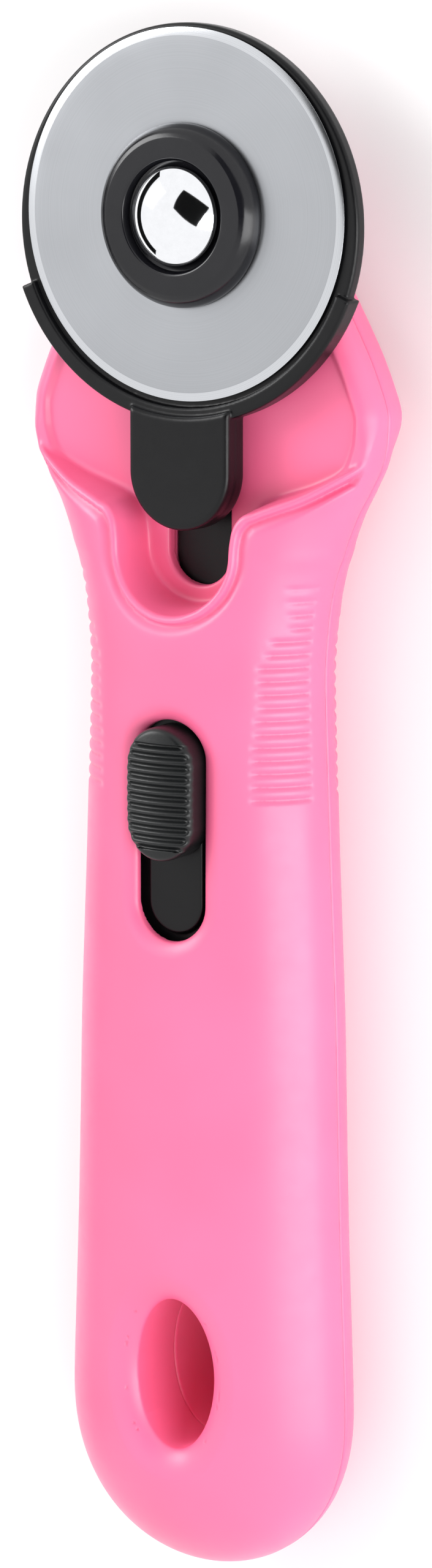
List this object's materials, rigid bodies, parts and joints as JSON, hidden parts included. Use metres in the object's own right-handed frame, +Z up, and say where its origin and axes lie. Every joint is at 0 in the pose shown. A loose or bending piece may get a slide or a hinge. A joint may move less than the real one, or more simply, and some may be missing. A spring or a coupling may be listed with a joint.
{
  "type": "rotary cutter",
  "caption": "Hand-held rotary cutter with a round blade, a sliding guard worked by a ribbed thumb button, and a smooth moulded handle with a hang hole.",
  "frame": {"origin": "middle of the bounding box in X and Y, on the plane that the handle's back rests on", "axes": "+Z up, towards the blade side; +Y along the tool towards the blade; X across the tool"},
  "size_m": [0.05, 0.196, 0.0228],
  "materials": {
    "pink_plastic": "satin moulded ABS",
    "black_plastic": "satin moulded",
    "blade_steel": "ground and satin",
    "chrome": "polished plate",
    "spring_steel": "plain",
    "zinc_steel": "zinc plated",
    "turned_steel": "turned",
    "white_nylon": "plain",
    "brass": "turned"
  },
  "bodies": {
    "handle": {"front_shell": "pink_plastic", "rear_shell": "pink_plastic", "detent_spring": "spring_steel", "detent_screw": "zinc_steel", "shell_screws": "zinc_steel", "blade_bush": "turned_steel", "blade_spacer": "white_nylon", "hub_ring": "black_plastic", "spring_washer": "spring_steel", "pivot_bolt": "chrome", "bolt_plate": "zinc_steel", "rear_washer": "zinc_steel"},
    "guard": {"blade_guard": "black_plastic", "guard_carriage": "black_plastic", "slot_cover": "black_plastic", "thumb_button": "black_plastic", "guard_screws": "zinc_steel", "button_screws": "zinc_steel"},
    "blade": {"blade": "blade_steel"},
    "nut": {"thumb_nut": "black_plastic", "nut_insert": "brass"}
  },
  "joints": [
    {"name": "guard_slide", "type": "slide", "parent": "handle", "child": "guard", "axis": [0, -1, 0], "range_m": [0, 0.009], "deforming": ["detent_spring"]},
    {"name": "blade_spin", "type": "hinge", "parent": "handle", "child": "blade", "pos_m": [0, 0.075, 0.01576], "axis": [0, 0, 1], "continuous": true},
    {"name": "nut_turn", "type": "hinge", "parent": "handle", "child": "nut", "pos_m": [0, 0.075, 0.0019], "axis": [0, 0, 1], "continuous": true}
  ]
}
